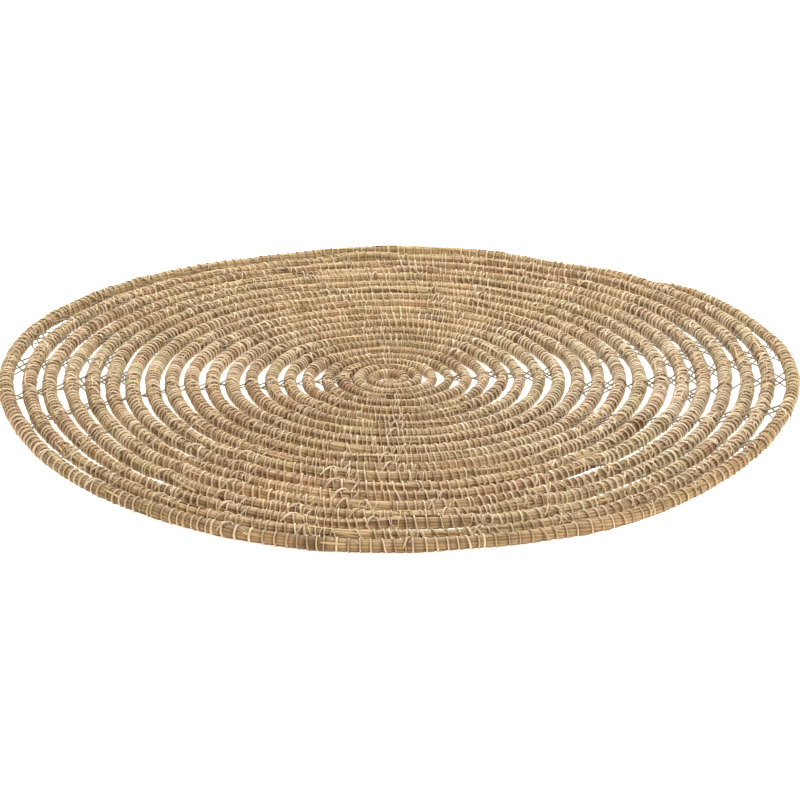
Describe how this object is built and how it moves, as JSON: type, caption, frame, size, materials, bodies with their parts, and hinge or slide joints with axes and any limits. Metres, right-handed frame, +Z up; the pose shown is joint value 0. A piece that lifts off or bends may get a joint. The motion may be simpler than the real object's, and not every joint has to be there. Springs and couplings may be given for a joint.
{
  "type": "round coiled straw placemat",
  "caption": "Round table placemat: one straw rope laid in an open flat spiral and stitched turn to turn, with its left and right edges slightly curled up.",
  "frame": {"origin": "middle of the mat's footprint, on the plane it lies on", "axes": "+Z up out of the mat, +X across the mat through the two edges that curl up, -Y towards the near edge; the rope ends on the +X side of the far edge"},
  "size_m": [0.3762, 0.3718, 0.0121],
  "materials": {
    "straw": "dry natural straw rope bound with pale strand, matt with a faint sheen"
  },
  "bodies": {
    "root": {"coil": "straw"}
  },
  "joints": []
}
